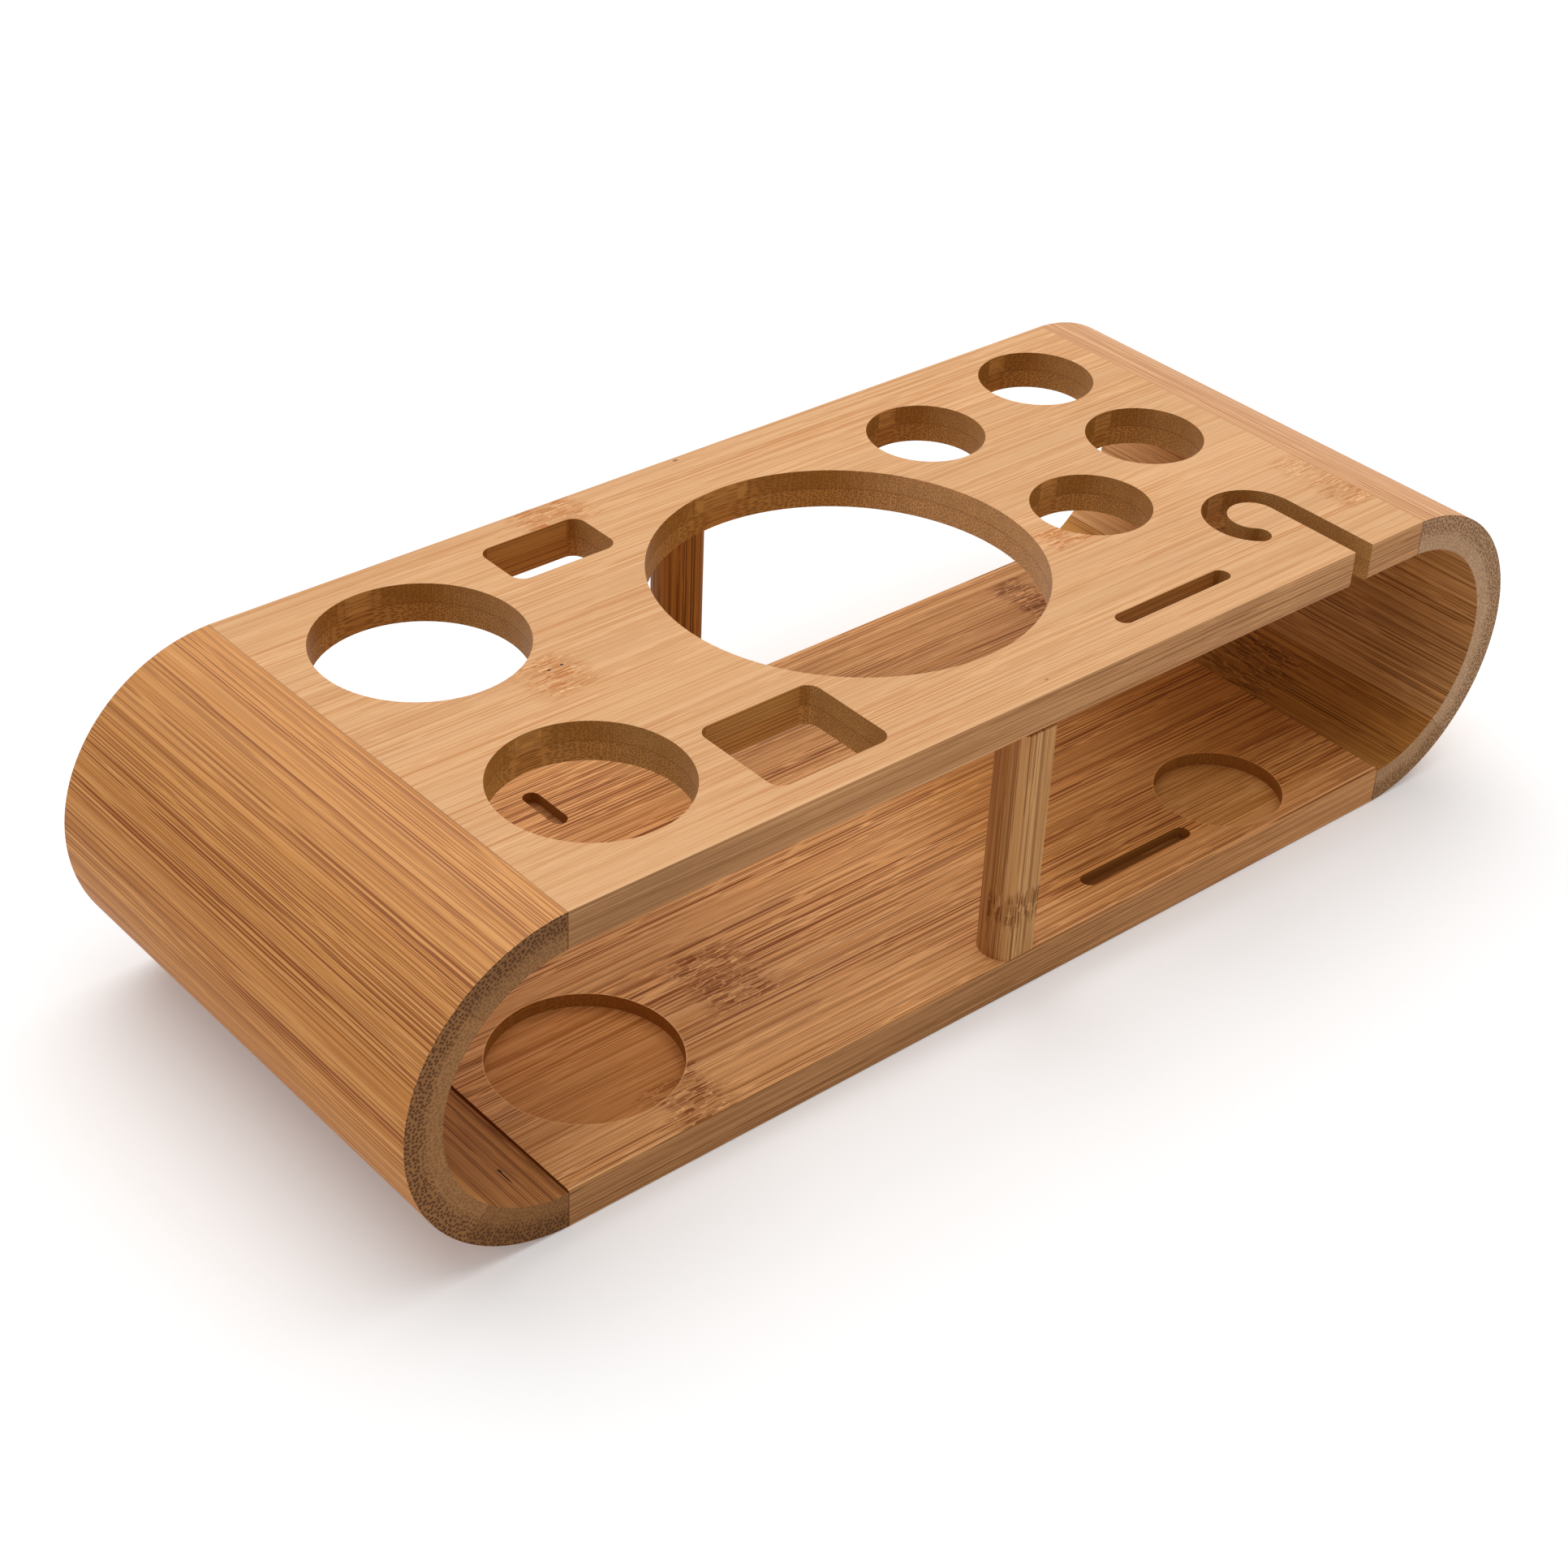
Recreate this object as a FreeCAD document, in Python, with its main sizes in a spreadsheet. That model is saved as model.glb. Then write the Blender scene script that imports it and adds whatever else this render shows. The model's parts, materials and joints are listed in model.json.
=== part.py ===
import FreeCAD
import Part
import Sketcher
import math
import os

# Bamboo caddy: two flat boards, one above the other, closed at each end by a half-round wall
# of three glued staves. Two rods trimmed flush stand between the boards at mid length.
# The upper board holds the tools: round holes, two windows, a blade slot and a hooked slot.
# Millimetres. Origin at the middle of the base, +X along the boards, +Y to the back, +Z up.

doc = FreeCAD.newDocument("Caddy")
sizes = doc.addObject("Spreadsheet::Sheet", "sizes")

# Driving sizes
DRIVING = [
    ("panel_length", 255.4, "boards, from seam to seam"),
    ("panel_width", 131, "boards and end walls, front to back"),
    ("overall_height", 81.6, "base to the top face"),
    ("board_thickness", 10, "both boards"),
    ("upper_edge_round", 1.5, "round on the lower long edges of the upper board"),
    ("lower_edge_round", 0.8, "round on the upper long edges of the lower board"),
    ("end_wall", 9.1, "thickness of the half-round ends"),
    ("end_inset", 1.4, "centre of the end's curve, inside the seam"),
    ("stave_angle", 48, "joints between staves, above and below the level"),
    ("cup_end_margin", 8.5, "wood between the cup holes and the left seam"),
    ("rear_cup_radius", 24.6, "rear cup hole"),
    ("rear_cup_margin", 8.5, "wood behind the rear cup hole"),
    ("front_cup_radius", 22, "front cup hole and the recess below it"),
    ("front_cup_margin", 10.8, "wood in front of the front cup hole"),
    ("shaker_radius", 46.8, "large hole"),
    ("shaker_offset_x", 1.8, "large hole, right of the middle"),
    ("shaker_offset_y", 0.2, "large hole, behind the middle"),
    ("rear_window_length", 28.5, "rear window, along the board"),
    ("rear_window_depth", 16.5, "rear window, front to back"),
    ("rear_window_from_seam", 65.3, "left seam to the rear window"),
    ("rear_window_margin", 9, "wood behind the rear window"),
    ("front_window_length", 31.9, "front window, along the board"),
    ("front_window_depth", 27, "front window, front to back"),
    ("front_window_from_seam", 58.8, "left seam to the front window"),
    ("front_window_margin", 7.2, "wood in front of the front window"),
    ("window_corner", 3.4, "corner radius of both windows"),
    ("stopper_radius", 14.9, "four small holes"),
    ("stopper_end_margin", 7.9, "wood between the small holes and the right seam"),
    ("stopper_rear_margin", 6.5, "wood behind the rear small hole"),
    ("stopper_pitch", 38.9, "right column of small holes, front to back"),
    ("rear_stopper_step_x", 43.7, "inner rear small hole, left of the rear one"),
    ("rear_stopper_step_y", 5.5, "inner rear small hole, in front of the rear one"),
    ("front_stopper_step_x", 36.2, "inner front small hole, left of the front one"),
    ("front_stopper_step_y", 17.1, "inner front small hole, in front of the front one"),
    ("blade_slot_length", 36.3, "blade slot and the groove below it"),
    ("blade_slot_width", 4.6, "blade slot and the groove below it"),
    ("blade_slot_from_seam", 74.5, "right seam to the middle of the blade slot"),
    ("blade_slot_from_front", 11.9, "front edge to the middle of the blade slot"),
    ("cross_groove_length", 15.6, "groove below the rear window"),
    ("cross_groove_width", 4.6, "groove below the rear window"),
    ("hook_width", 6.2, "hooked slot"),
    ("hook_radius", 9.4, "middle line of the hook's curl"),
    ("hook_from_seam", 21.8, "right seam to the middle of the hook's channel"),
    ("hook_from_front", 26.6, "front edge to the centre of the hook's curl"),
    ("hook_return", 7.2, "how far the curl comes back to the front"),
    ("foot_recess_radius", 16.1, "recess below the end of the hooked slot"),
    ("lower_shift_x", 2.3, "recesses and grooves, left of what is above them"),
    ("lower_shift_y", 1, "recesses and grooves, in front of what is above them"),
    ("recess_depth", 3.6, "round recesses"),
    ("groove_depth", 3, "grooves"),
    ("post_radius", 6.5, "rods between the boards"),
    ("post_inset", 5.2, "axis of a rod, inside the long edge of the boards"),
    ("front_post_offset", 1.4, "front rod, right of the middle"),
    ("dowel_radius", 2.5, "hidden dowels"),
    ("dowel_in_board", 6, "dowel length in a board"),
    ("dowel_in_end", 8, "dowel length in an end wall"),
    ("dowel_in_post", 9, "dowel length in a rod"),
    ("dowel_spacing", 45, "dowels along a seam"),
    ("glue_gap", 0.1, "room round a dowel"),
    ("glue_pocket", 0.3, "room past the ends of a dowel"),
]

# Places worked out from the driving sizes
WORKED_OUT = [
    ("half_length", "panel_length / 2"),
    ("half_width", "panel_width / 2"),
    ("mid_height", "overall_height / 2"),
    ("underside", "overall_height - board_thickness"),
    ("end_centre", "half_length - end_inset"),
    ("end_outer_radius", "overall_height / 2"),
    ("end_inner_radius", "end_outer_radius - end_wall"),
    ("rear_cup_x", "cup_end_margin + rear_cup_radius - half_length"),
    ("rear_cup_y", "half_width - rear_cup_margin - rear_cup_radius"),
    ("front_cup_x", "cup_end_margin + front_cup_radius - half_length"),
    ("front_cup_y", "front_cup_margin + front_cup_radius - half_width"),
    ("rear_window_x", "rear_window_from_seam + rear_window_length / 2 - half_length"),
    ("rear_window_y", "half_width - rear_window_margin - rear_window_depth / 2"),
    ("front_window_x", "front_window_from_seam + front_window_length / 2 - half_length"),
    ("front_window_y", "front_window_margin + front_window_depth / 2 - half_width"),
    ("stopper_x", "half_length - stopper_end_margin - stopper_radius"),
    ("rear_stopper_y", "half_width - stopper_rear_margin - stopper_radius"),
    ("front_stopper_y", "rear_stopper_y - stopper_pitch"),
    ("blade_slot_x", "half_length - blade_slot_from_seam"),
    ("blade_slot_y", "blade_slot_from_front - half_width"),
    ("hook_x", "half_length - hook_from_seam - hook_radius"),
    ("hook_y", "hook_from_front - half_width"),
    ("hook_end_x", "hook_x - sqrt(hook_radius * hook_radius - hook_return * hook_return)"),
    ("hook_end_y", "hook_y - hook_return"),
    ("post_y", "half_width - post_inset"),
    ("post_length", "overall_height - 2 * board_thickness"),
    ("socket_radius", "dowel_radius + glue_gap"),
    ("upper_dowel_z", "overall_height - board_thickness / 2"),
    ("lower_dowel_z", "board_thickness / 2"),
]

for row, (alias, number, meaning) in enumerate(DRIVING, start=1):
    sizes.set("A%d" % row, meaning)
    sizes.set("B%d" % row, str(number))
    sizes.setAlias("B%d" % row, alias)
for row, (alias, formula) in enumerate(WORKED_OUT, start=len(DRIVING) + 1):
    sizes.set("B%d" % row, "=" + formula)
    sizes.setAlias("B%d" % row, alias)
doc.recompute()

SYMMETRIC = "Symmetric"
START, END, CENTRE = 1, 2, 3
ORIGIN_POINT = (-1, 1)
UP = FreeCAD.Vector(0, 0, 1)


def value(formula):
    """Number that a formula over the sheet gives now."""
    return float(sizes.evalExpression(formula))


def bind(target, path, formula):
    """Tie a property of an object to a formula over the sheet."""
    target.setExpression(path, formula)


def new_body(name):
    body = doc.addObject("PartDesign::Body", name)
    body.Label = name
    return body


def new_sketch(body, name, role, offset=None):
    """Sketch on one of the body's own origin planes, moved along its normal by a formula."""
    sketch = body.newObject("Sketcher::SketchObject", name)
    plane = [feature for feature in body.Origin.OriginFeatures if feature.Role == role][0]
    sketch.AttachmentSupport = [(plane, "")]
    sketch.MapMode = "FlatFace"
    if offset:
        bind(sketch, "AttachmentOffset.Base.z", offset)
    return sketch


def dimension(sketch, kind, *where, formula):
    """Dimension tied to the sheet."""
    amount = value(formula)
    if kind == "Angle":
        amount = math.radians(amount)
    index = sketch.addConstraint(Sketcher.Constraint(kind, *where, amount))
    bind(sketch, "Constraints[%d]" % index, formula)


def place_point(sketch, piece, position, x, y):
    """Dimension a point from the sketch's origin."""
    dimension(sketch, "DistanceX", *ORIGIN_POINT, piece, position, formula=x)
    dimension(sketch, "DistanceY", *ORIGIN_POINT, piece, position, formula=y)


def line(sketch, start, end):
    return sketch.addGeometry(Part.LineSegment(FreeCAD.Vector(*start), FreeCAD.Vector(*end)))


def arc(sketch, centre, radius, first, last):
    """Arc drawn counter-clockwise between two angles in degrees."""
    circle = Part.Circle(FreeCAD.Vector(*centre), UP, radius)
    return sketch.addGeometry(Part.ArcOfCircle(circle, math.radians(first), math.radians(last)))


def meet(sketch, *ends):
    sketch.addConstraint(Sketcher.Constraint("Coincident", *ends))


def flow(sketch, *ends):
    """Two ends that meet and run on smoothly."""
    sketch.addConstraint(Sketcher.Constraint("Tangent", *ends))


def draw_circle(sketch, x, y, radius):
    centre = FreeCAD.Vector(value(x), value(y), 0)
    ring = sketch.addGeometry(Part.Circle(centre, UP, value(radius)))
    dimension(sketch, "Radius", ring, formula=radius)
    place_point(sketch, ring, CENTRE, x, y)


def draw_rectangle(sketch, half_x, half_y):
    """Rectangle centred on the sketch's origin."""
    x = value(half_x)
    y = value(half_y)
    corners = [(-x, -y, 0), (x, -y, 0), (x, y, 0), (-x, y, 0)]
    sides = [line(sketch, corners[i], corners[(i + 1) % 4]) for i in range(4)]
    for i in range(4):
        meet(sketch, sides[i], END, sides[(i + 1) % 4], START)
        sketch.addConstraint(Sketcher.Constraint(("Horizontal", "Vertical")[i % 2], sides[i]))
    place_point(sketch, sides[0], START, "-" + half_x, "-" + half_y)
    place_point(sketch, sides[2], START, half_x, half_y)


def draw_window(sketch, x, y, length, depth, corner):
    """Rectangle with rounded corners, placed by its centre."""
    rounding = value(corner)
    half_x = value(length) / 2 - rounding
    half_y = value(depth) / 2 - rounding
    mid_x = value(x)
    mid_y = value(y)
    sides = []
    corners = []
    turns = [(1, -1, -90), (1, 1, 0), (-1, 1, 90), (-1, -1, 180)]
    for right, back, first in turns:
        centre = (mid_x + right * half_x, mid_y + back * half_y, 0)
        corners.append(arc(sketch, centre, rounding, first, first + 90))
    for i in range(4):
        leave = sketch.Geometry[corners[i - 1]].EndPoint
        reach = sketch.Geometry[corners[i]].StartPoint
        sides.append(line(sketch, leave, reach))
    for i in range(4):
        flow(sketch, corners[i - 1], END, sides[i], START)
        flow(sketch, sides[i], END, corners[i], START)
        sketch.addConstraint(Sketcher.Constraint(("Horizontal", "Vertical")[i % 2], sides[i]))
    for i in range(1, 4):
        sketch.addConstraint(Sketcher.Constraint("Equal", corners[0], corners[i]))
    dimension(sketch, "Radius", corners[0], formula=corner)
    reach_x = "(%s / 2 - %s)" % (length, corner)
    reach_y = "(%s / 2 - %s)" % (depth, corner)
    place_point(sketch, corners[3], CENTRE, x + " - " + reach_x, y + " - " + reach_y)
    place_point(sketch, corners[1], CENTRE, x + " + " + reach_x, y + " + " + reach_y)


def draw_slot(sketch, x, y, length, width, along_x):
    """Slot with round ends, placed by its centre."""
    radius = value(width) / 2
    reach = "(%s - %s) / 2" % (length, width)
    straight = value(reach)
    mid_x = value(x)
    mid_y = value(y)
    step = (straight, 0) if along_x else (0, straight)
    turn = 0 if along_x else 90
    far_end = arc(sketch, (mid_x + step[0], mid_y + step[1], 0), radius, turn - 90, turn + 90)
    near_end = arc(sketch, (mid_x - step[0], mid_y - step[1], 0), radius, turn + 90, turn + 270)
    far = sketch.Geometry[far_end]
    near = sketch.Geometry[near_end]
    first = line(sketch, far.EndPoint, near.StartPoint)
    second = line(sketch, near.EndPoint, far.StartPoint)
    flow(sketch, far_end, END, first, START)
    flow(sketch, first, END, near_end, START)
    flow(sketch, near_end, END, second, START)
    flow(sketch, second, END, far_end, START)
    sketch.addConstraint(Sketcher.Constraint("Equal", far_end, near_end))
    dimension(sketch, "Radius", far_end, formula=width + " / 2")
    if along_x:
        place_point(sketch, far_end, CENTRE, x + " + " + reach, y)
        place_point(sketch, near_end, CENTRE, x + " - " + reach, y)
    else:
        place_point(sketch, far_end, CENTRE, x, y + " + " + reach)
        place_point(sketch, near_end, CENTRE, x, y + " - " + reach)


def draw_hook(sketch):
    """Channel in from the front edge that curls round to the left and back."""
    x = value("sizes.hook_x")
    y = value("sizes.hook_y")
    middle = value("sizes.hook_radius")
    half = value("sizes.hook_width") / 2
    mouth = -value("sizes.half_width") - half
    turn = math.degrees(math.atan2(value("sizes.hook_end_y") - y, value("sizes.hook_end_x") - x)) + 360
    end_centre = (value("sizes.hook_end_x"), value("sizes.hook_end_y"), 0)
    right_wall = line(sketch, (x + middle + half, mouth, 0), (x + middle + half, y, 0))
    outer = arc(sketch, (x, y, 0), middle + half, 0, turn)
    tip = arc(sketch, end_centre, half, turn, turn + 180)
    inner = arc(sketch, (x, y, 0), middle - half, 0, turn)
    left_wall = line(sketch, (x + middle - half, y, 0), (x + middle - half, mouth, 0))
    opening = line(sketch, (x + middle - half, mouth, 0), (x + middle + half, mouth, 0))
    flow(sketch, right_wall, END, outer, START)
    flow(sketch, outer, END, tip, START)
    flow(sketch, tip, END, inner, END)
    flow(sketch, inner, START, left_wall, START)
    meet(sketch, left_wall, END, opening, START)
    meet(sketch, opening, END, right_wall, START)
    meet(sketch, outer, CENTRE, inner, CENTRE)
    sketch.addConstraint(Sketcher.Constraint("Vertical", right_wall))
    sketch.addConstraint(Sketcher.Constraint("Vertical", left_wall))
    sketch.addConstraint(Sketcher.Constraint("Horizontal", opening))
    place_point(sketch, outer, CENTRE, "sizes.hook_x", "sizes.hook_y")
    dimension(sketch, "Radius", outer, formula="sizes.hook_radius + sizes.hook_width / 2")
    dimension(sketch, "Radius", inner, formula="sizes.hook_radius - sizes.hook_width / 2")
    dimension(sketch, "DistanceY", *ORIGIN_POINT, tip, CENTRE, formula="sizes.hook_end_y")
    dimension(sketch, "DistanceY", *ORIGIN_POINT, opening, START,
              formula="-sizes.half_width - sizes.hook_width / 2")


def pad(body, sketch, length, side=None):
    feature = body.newObject("PartDesign::Pad", sketch.Name + "_pad")
    feature.Profile = sketch
    if side:
        feature.SideType = side
    bind(feature, "Length", length)
    doc.recompute()
    return feature


def cut(body, sketch, depth=None, along_normal=False):
    """Pocket a sketch, right through where no depth is given; the piece has to lose volume."""
    before = body.Shape.Volume
    feature = body.newObject("PartDesign::Pocket", sketch.Name + "_cut")
    feature.Profile = sketch
    feature.Reversed = along_normal
    if depth:
        bind(feature, "Length", depth)
    else:
        feature.Type = "ThroughAll"
    doc.recompute()
    if not body.Shape.Volume < before:
        raise RuntimeError(sketch.Name + " cuts nothing")
    return feature


def round_long_edges(body, feature, level, radius):
    """Round the edges of the pad that run along X at one height."""
    names = []
    for number, edge in enumerate(feature.Shape.Edges, start=1):
        ends = [vertex.Point for vertex in edge.Vertexes]
        at_level = all(abs(point.z - value(level)) < 0.001 for point in ends)
        if at_level and abs(ends[0].y - ends[1].y) < 0.001:
            names.append("Edge%d" % number)
    fillet = body.newObject("PartDesign::Fillet", body.Name + "_edge_round")
    fillet.Base = (feature, names)
    bind(fillet, "Radius", radius)
    doc.recompute()


def new_board(name, base, round_level, edge_round):
    """Flat board with two long edges rounded, before anything is cut from it."""
    body = new_body(name)
    outline = new_sketch(body, name + "_outline", "XY_Plane", base)
    draw_rectangle(outline, "sizes.half_length", "sizes.half_width")
    plain = pad(body, outline, "sizes.board_thickness")
    round_long_edges(body, plain, round_level, edge_round)
    return body


def seam_dowel_places():
    return ["-sizes.dowel_spacing", "0 * sizes.dowel_spacing", "sizes.dowel_spacing"]


def cut_seam_sockets(body, level):
    """Sockets for the dowels in both ends of a board."""
    sockets = new_sketch(body, body.Name + "_seam_sockets", "YZ_Plane", "sizes.half_length")
    for place in seam_dowel_places():
        draw_circle(sockets, place, level, "sizes.socket_radius")
    right = cut(body, sockets, "sizes.dowel_in_board + sizes.glue_pocket")
    mirrored = body.newObject("PartDesign::Mirrored", body.Name + "_far_seam_sockets")
    mirrored.Originals = [right]
    plane = [feature for feature in body.Origin.OriginFeatures if feature.Role == "YZ_Plane"][0]
    mirrored.MirrorPlane = (plane, [""])
    body.Tip = mirrored
    doc.recompute()


POST_PLACES = {
    "front": ("sizes.front_post_offset", "-sizes.post_y"),
    "rear": ("0 * sizes.front_post_offset", "sizes.post_y"),
}


def cut_post_sockets(body, level, upward):
    """Sockets for the dowels that carry the two rods."""
    sockets = new_sketch(body, body.Name + "_post_sockets", "XY_Plane", level)
    for x, y in POST_PLACES.values():
        draw_circle(sockets, x, y, "sizes.socket_radius")
    cut(body, sockets, "sizes.dowel_in_board + sizes.glue_pocket", upward)


# Upper board with everything that holds a tool
top_panel = new_board("top_panel", "sizes.underside", "sizes.underside", "sizes.upper_edge_round")


def cut_out(name):
    return new_sketch(top_panel, name, "XY_Plane", "sizes.overall_height")


rear_cup_hole = cut_out("rear_cup_hole")
draw_circle(rear_cup_hole, "sizes.rear_cup_x", "sizes.rear_cup_y", "sizes.rear_cup_radius")
cut(top_panel, rear_cup_hole)

front_cup_hole = cut_out("front_cup_hole")
draw_circle(front_cup_hole, "sizes.front_cup_x", "sizes.front_cup_y", "sizes.front_cup_radius")
cut(top_panel, front_cup_hole)

shaker_hole = cut_out("shaker_hole")
draw_circle(shaker_hole, "sizes.shaker_offset_x", "sizes.shaker_offset_y", "sizes.shaker_radius")
cut(top_panel, shaker_hole)

STOPPER_PLACES = [
    ("sizes.stopper_x", "sizes.rear_stopper_y"),
    ("sizes.stopper_x", "sizes.front_stopper_y"),
    ("sizes.stopper_x - sizes.rear_stopper_step_x", "sizes.rear_stopper_y - sizes.rear_stopper_step_y"),
    ("sizes.stopper_x - sizes.front_stopper_step_x", "sizes.front_stopper_y - sizes.front_stopper_step_y"),
]
for count, (x, y) in enumerate(STOPPER_PLACES, start=1):
    stopper_hole = cut_out("stopper_hole_%d" % count)
    draw_circle(stopper_hole, x, y, "sizes.stopper_radius")
    cut(top_panel, stopper_hole)

rear_window = cut_out("rear_window")
draw_window(rear_window, "sizes.rear_window_x", "sizes.rear_window_y",
            "sizes.rear_window_length", "sizes.rear_window_depth", "sizes.window_corner")
cut(top_panel, rear_window)

front_window = cut_out("front_window")
draw_window(front_window, "sizes.front_window_x", "sizes.front_window_y",
            "sizes.front_window_length", "sizes.front_window_depth", "sizes.window_corner")
cut(top_panel, front_window)

blade_slot = cut_out("blade_slot")
draw_slot(blade_slot, "sizes.blade_slot_x", "sizes.blade_slot_y",
          "sizes.blade_slot_length", "sizes.blade_slot_width", along_x=True)
cut(top_panel, blade_slot)

hook_slot = cut_out("hook_slot")
draw_hook(hook_slot)
cut(top_panel, hook_slot)

cut_post_sockets(top_panel, "sizes.underside", upward=True)
cut_seam_sockets(top_panel, "sizes.upper_dowel_z")

# Lower board with the recesses and grooves that steady the tools' feet
bottom_panel = new_board("bottom_panel", "0 * sizes.board_thickness", "sizes.board_thickness",
                         "sizes.lower_edge_round")


def below(cut_out_name):
    """Place in the lower board under a cut-out of the upper one, with their shared shift."""
    return ("sizes.%s_x - sizes.lower_shift_x" % cut_out_name,
            "sizes.%s_y - sizes.lower_shift_y" % cut_out_name)


cup_recess = new_sketch(bottom_panel, "cup_recess", "XY_Plane", "sizes.board_thickness")
draw_circle(cup_recess, *below("front_cup"), "sizes.front_cup_radius")
cut(bottom_panel, cup_recess, "sizes.recess_depth")

foot_recess = new_sketch(bottom_panel, "foot_recess", "XY_Plane", "sizes.board_thickness")
draw_circle(foot_recess, *below("hook_end"), "sizes.foot_recess_radius")
cut(bottom_panel, foot_recess, "sizes.recess_depth")

blade_groove = new_sketch(bottom_panel, "blade_groove", "XY_Plane", "sizes.board_thickness")
draw_slot(blade_groove, *below("blade_slot"), "sizes.blade_slot_length", "sizes.blade_slot_width",
          along_x=True)
cut(bottom_panel, blade_groove, "sizes.groove_depth")

cross_groove = new_sketch(bottom_panel, "cross_groove", "XY_Plane", "sizes.board_thickness")
draw_slot(cross_groove, *below("rear_window"), "sizes.cross_groove_length", "sizes.cross_groove_width",
          along_x=False)
cut(bottom_panel, cross_groove, "sizes.groove_depth")

cut_post_sockets(bottom_panel, "sizes.board_thickness", upward=False)
cut_seam_sockets(bottom_panel, "sizes.lower_dowel_z")


def draw_stave(sketch, side, part):
    """Sector of the half-round end; an outer stave stops at the board's seam, not on a radius."""
    centre = (side * value("sizes.end_centre"), value("sizes.mid_height"), 0)
    outer_radius = value("sizes.end_outer_radius")
    inner_radius = value("sizes.end_inner_radius")
    joint = value("sizes.stave_angle")
    inset = value("sizes.end_inset")
    outer_seam = math.degrees(math.acos(inset / outer_radius))
    inner_seam = math.degrees(math.acos(inset / inner_radius))

    def turn(angle):
        return angle if side > 0 else 180 - angle

    def span(first, last):
        return sorted((turn(first), turn(last)))

    reach = {"upper": (joint, outer_seam, inner_seam),
             "middle": (-joint, joint, joint),
             "lower": (-outer_seam, -joint, -joint)}[part]
    inner_reach = (-inner_seam, -joint) if part == "lower" else (reach[0], reach[2])
    outer = arc(sketch, centre, outer_radius, *span(reach[0], reach[1]))
    inner = arc(sketch, centre, inner_radius, *span(*inner_reach))
    meet(sketch, outer, CENTRE, inner, CENTRE)
    sign = "" if side > 0 else "-"
    place_point(sketch, outer, CENTRE, sign + "sizes.end_centre", "sizes.mid_height")
    dimension(sketch, "Radius", outer, formula="sizes.end_outer_radius")
    dimension(sketch, "Radius", inner, formula="sizes.end_inner_radius")
    for position in (START, END):
        at_outer = sketch.getPoint(outer, position)
        at_inner = sketch.getPoint(inner, position)
        edge = line(sketch, at_inner, at_outer)
        meet(sketch, edge, START, inner, position)
        meet(sketch, edge, END, outer, position)
        drawn = math.degrees(math.atan2(at_outer.y - centre[1], at_outer.x - centre[0]))
        level_angle = abs(drawn) if side > 0 else 180 - abs(drawn)
        if abs(level_angle - joint) < 0.001:
            sketch.addConstraint(Sketcher.Constraint("PointOnObject", outer, CENTRE, edge))
            rising = "" if drawn > 0 else "-"
            from_axis = "sizes.stave_angle" if side > 0 else "(180 - sizes.stave_angle)"
            dimension(sketch, "Angle", edge, formula=rising + from_axis)
        else:
            sketch.addConstraint(Sketcher.Constraint("Vertical", edge))
            dimension(sketch, "DistanceX", *ORIGIN_POINT, edge, START, formula=sign + "sizes.half_length")


def new_stave(name, side, part):
    """One stave of an end wall, with dowel sockets where it meets a board."""
    body = new_body(name)
    profile = new_sketch(body, name + "_profile", "XZ_Plane")
    draw_stave(profile, side, part)
    pad(body, profile, "sizes.panel_width", SYMMETRIC)
    if part == "middle":
        return body
    level = {"upper": "sizes.upper_dowel_z", "lower": "sizes.lower_dowel_z"}[part]
    sign = "" if side > 0 else "-"
    sockets = new_sketch(body, name + "_sockets", "YZ_Plane", sign + "sizes.half_length")
    for place in seam_dowel_places():
        draw_circle(sockets, place, level, "sizes.socket_radius")
    cut(body, sockets, "sizes.dowel_in_end + sizes.glue_pocket", along_normal=side > 0)
    return body


# Half-round ends, three staves each
SIDES = {"left": -1, "right": 1}
staves = []
for side_name, side in SIDES.items():
    for part in ("upper", "middle", "lower"):
        staves.append(new_stave("%s_end_%s_stave" % (side_name, part), side, part))


def new_pin(name, axis, radius, length, x, y, z):
    """Round pin that starts at a point and runs along an axis."""
    pin = doc.addObject("Part::Cylinder", name)
    pin.Placement = FreeCAD.Placement(FreeCAD.Vector(), FreeCAD.Rotation(UP, FreeCAD.Vector(*axis)))
    bind(pin, "Radius", radius)
    bind(pin, "Height", length)
    bind(pin, "Placement.Base.x", x)
    bind(pin, "Placement.Base.y", y)
    bind(pin, "Placement.Base.z", z)
    return pin


def new_group(name, members):
    group = doc.addObject("Part::Compound", name)
    group.Label = name
    group.Links = members
    return group


def new_post(name, x, y):
    """Rod between the boards, its outer side planed flush with their long edges."""
    rod = new_pin(name + "_rod", (0, 0, 1), "sizes.post_radius", "sizes.post_length",
                  x, y, "sizes.board_thickness")
    envelope = doc.addObject("Part::Box", name + "_envelope")
    bind(envelope, "Length", "sizes.panel_length")
    bind(envelope, "Width", "sizes.panel_width")
    bind(envelope, "Height", "sizes.overall_height")
    bind(envelope, "Placement.Base.x", "-sizes.half_length")
    bind(envelope, "Placement.Base.y", "-sizes.half_width")
    planed = doc.addObject("Part::Common", name + "_planed")
    planed.Base = rod
    planed.Tool = envelope
    depth = "sizes.dowel_in_post + sizes.glue_pocket"
    low = new_pin(name + "_low_socket", (0, 0, 1), "sizes.socket_radius", depth,
                  x, y, "sizes.board_thickness")
    high = new_pin(name + "_high_socket", (0, 0, -1), "sizes.socket_radius", depth,
                   x, y, "sizes.underside")
    post = doc.addObject("Part::Cut", name)
    post.Label = name
    post.Base = planed
    post.Tool = new_group(name + "_sockets", [low, high])
    return post


# Rods and the dowels that hold them
posts = [new_post(place + "_post", x, y) for place, (x, y) in POST_PLACES.items()]

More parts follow.
